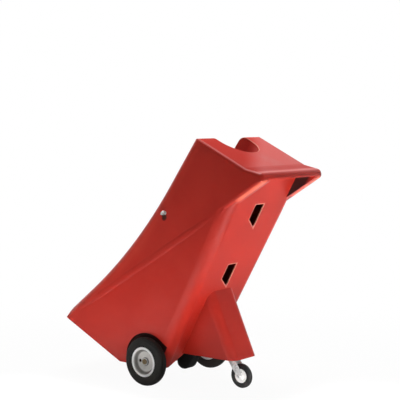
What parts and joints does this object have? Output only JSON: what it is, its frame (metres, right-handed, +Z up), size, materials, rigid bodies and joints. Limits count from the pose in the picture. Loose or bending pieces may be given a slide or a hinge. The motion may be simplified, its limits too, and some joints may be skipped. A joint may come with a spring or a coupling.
{
  "type": "gas cylinder trolley",
  "caption": "Moulded trolley with a half-round well for a tall round load, a full-width handle bar, large side wheels and a swivelling tail castor.",
  "frame": {"origin": "on the floor under the middle of the trolley, halfway between toe and handle bar", "axes": "+Z up, -Y to the front where the load goes in, +X to the operator's left"},
  "size_m": [0.588, 1.2978, 1.2724],
  "materials": {
    "red_moulding": "satin moulded polyethylene with a fine grain",
    "black_tyre": "smooth cushion rubber",
    "silver_rim": "silver powder coat",
    "zinc_steel": "bright zinc plate",
    "yellow_zinc": "yellow passivated zinc",
    "black_nylon": "moulded nylon",
    "pale_nylon": "moulded nylon",
    "castor_rubber": "solid rubber tread",
    "black_rubber": "moulded rubber"
  },
  "bodies": {
    "frame": {"axle_bushes": "black_nylon", "axle_caps": "yellow_zinc", "axle_spacers": "zinc_steel", "axle_washers": "zinc_steel", "body_shell": "red_moulding", "castor_bolts": "zinc_steel", "castor_nuts": "zinc_steel", "castor_plate": "zinc_steel", "castor_race": "zinc_steel", "cradle": "red_moulding", "kingpin": "zinc_steel", "left_tie_eye": "zinc_steel", "left_tie_nut": "zinc_steel", "left_tie_washer": "zinc_steel", "main_axle": "zinc_steel", "right_tie_eye": "zinc_steel", "right_tie_nut": "zinc_steel", "right_tie_washer": "zinc_steel", "skid_block": "black_rubber", "skid_screws": "zinc_steel"},
    "left_wheel": {"left_bearings": "black_nylon", "left_hub": "silver_rim", "left_inner_rim": "silver_rim", "left_outer_rim": "silver_rim", "left_tyre": "black_tyre"},
    "right_wheel": {"right_bearings": "black_nylon", "right_hub": "silver_rim", "right_inner_rim": "silver_rim", "right_outer_rim": "silver_rim", "right_tyre": "black_tyre"},
    "castor_swivel": {"castor_fork": "zinc_steel", "castor_axle_bolt": "zinc_steel", "castor_axle_nut": "zinc_steel"},
    "castor_wheel": {"castor_core": "pale_nylon", "castor_tyre": "castor_rubber", "castor_bush": "zinc_steel"}
  },
  "joints": [
    {"name": "left_wheel_spin", "type": "hinge", "parent": "frame", "child": "left_wheel", "pos_m": [0.2645, -0.07788, 0.125], "axis": [1, 0, 0], "continuous": true},
    {"name": "right_wheel_spin", "type": "hinge", "parent": "frame", "child": "right_wheel", "pos_m": [-0.2645, -0.07788, 0.125], "axis": [1, 0, 0], "continuous": true},
    {"name": "castor_swivel_turn", "type": "hinge", "parent": "frame", "child": "castor_swivel", "pos_m": [0, 0.28612, 0.156], "axis": [0, 0, 1], "continuous": true},
    {"name": "castor_wheel_spin", "type": "hinge", "parent": "castor_swivel", "child": "castor_wheel", "pos_m": [0, 0.33812, 0.0625], "axis": [1, 0, 0], "continuous": true}
  ]
}
